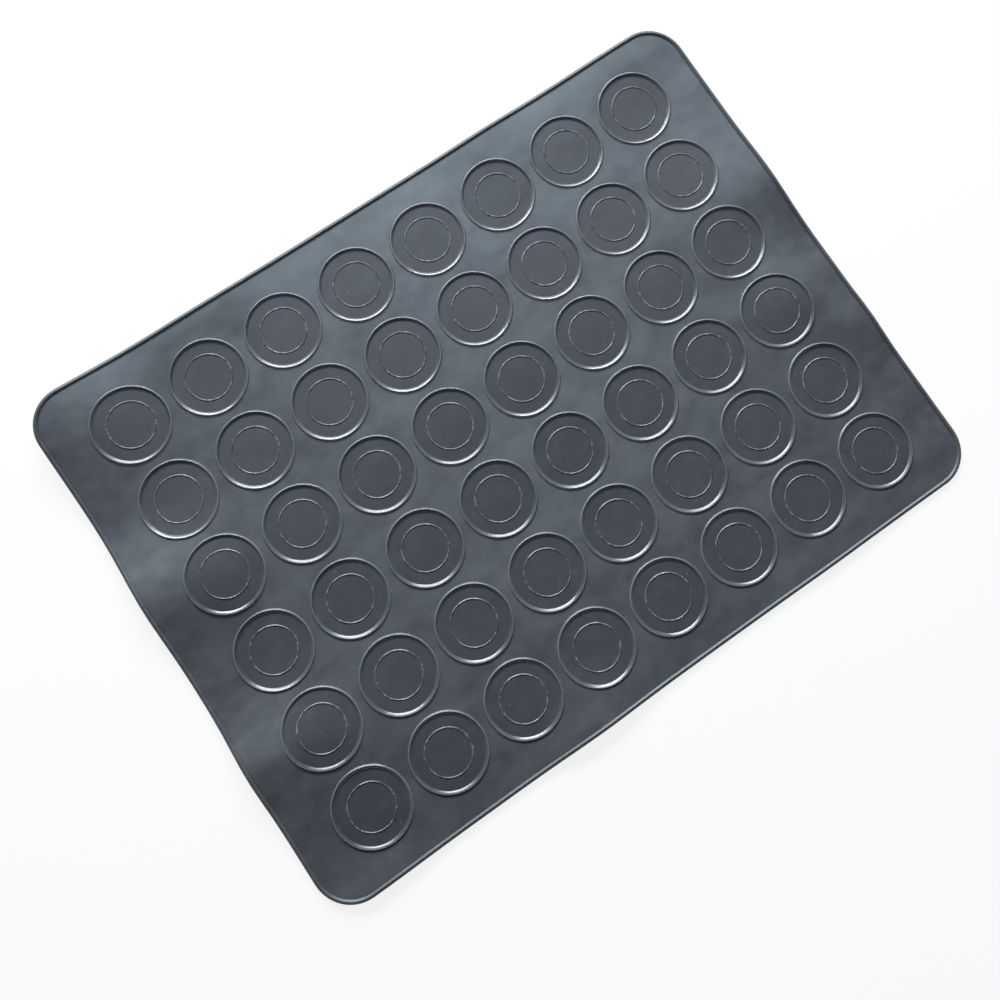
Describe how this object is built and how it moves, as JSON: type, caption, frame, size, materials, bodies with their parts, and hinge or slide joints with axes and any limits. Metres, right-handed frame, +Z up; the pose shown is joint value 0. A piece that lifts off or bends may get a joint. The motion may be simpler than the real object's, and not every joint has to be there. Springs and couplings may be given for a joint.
{
  "type": "silicone cookie mould",
  "caption": "Thin flexible baking mat with a raised rim and a grid of shallow ringed round cavities, for piping and baking small round biscuits.",
  "frame": {"origin": "under the middle of the mat, on its flat underside", "axes": "+X along the long side, +Y along the short side, +Z up out of the cavities"},
  "size_m": [0.385, 0.285, 0.002],
  "materials": {
    "sheet_silicone": "satin moulded silicone, with matte cavity floors",
    "bead_silicone": "satin moulded silicone",
    "ridge_silicone": "smooth glossier moulded silicone",
    "guide_silicone": "smooth moulded silicone, paler than the floor"
  },
  "bodies": {
    "root": {"mat_sheet": "sheet_silicone", "rim_bead": "bead_silicone", "ring_ridge_1_1": "ridge_silicone", "ring_ridge_1_2": "ridge_silicone", "ring_ridge_1_3": "ridge_silicone", "ring_ridge_1_4": "ridge_silicone", "ring_ridge_1_5": "ridge_silicone", "ring_ridge_1_6": "ridge_silicone", "ring_ridge_1_7": "ridge_silicone", "ring_ridge_1_8": "ridge_silicone", "ring_ridge_2_1": "ridge_silicone", "ring_ridge_2_2": "ridge_silicone", "ring_ridge_2_3": "ridge_silicone", "ring_ridge_2_4": "ridge_silicone", "ring_ridge_2_5": "ridge_silicone", "ring_ridge_2_6": "ridge_silicone", "ring_ridge_2_7": "ridge_silicone", "ring_ridge_2_8": "ridge_silicone", "ring_ridge_3_1": "ridge_silicone", "ring_ridge_3_2": "ridge_silicone", "ring_ridge_3_3": "ridge_silicone", "ring_ridge_3_4": "ridge_silicone", "ring_ridge_3_5": "ridge_silicone", "ring_ridge_3_6": "ridge_silicone", "ring_ridge_3_7": "ridge_silicone", "ring_ridge_3_8": "ridge_silicone", "ring_ridge_4_1": "ridge_silicone", "ring_ridge_4_2": "ridge_silicone", "ring_ridge_4_3": "ridge_silicone", "ring_ridge_4_4": "ridge_silicone", "ring_ridge_4_5": "ridge_silicone", "ring_ridge_4_6": "ridge_silicone", "ring_ridge_4_7": "ridge_silicone", "ring_ridge_4_8": "ridge_silicone", "ring_ridge_5_1": "ridge_silicone", "ring_ridge_5_2": "ridge_silicone", "ring_ridge_5_3": "ridge_silicone", "ring_ridge_5_4": "ridge_silicone", "ring_ridge_5_5": "ridge_silicone", "ring_ridge_5_6": "ridge_silicone", "ring_ridge_5_7": "ridge_silicone", "ring_ridge_5_8": "ridge_silicone", "ring_ridge_6_1": "ridge_silicone", "ring_ridge_6_2": "ridge_silicone", "ring_ridge_6_3": "ridge_silicone", "ring_ridge_6_4": "ridge_silicone", "ring_ridge_6_5": "ridge_silicone", "ring_ridge_6_6": "ridge_silicone", "ring_ridge_6_7": "ridge_silicone", "ring_ridge_6_8": "ridge_silicone", "guide_rings_row_1": "guide_silicone", "guide_rings_row_2": "guide_silicone", "guide_rings_row_3": "guide_silicone", "guide_rings_row_4": "guide_silicone", "guide_rings_row_5": "guide_silicone", "guide_rings_row_6": "guide_silicone"}
  },
  "joints": []
}
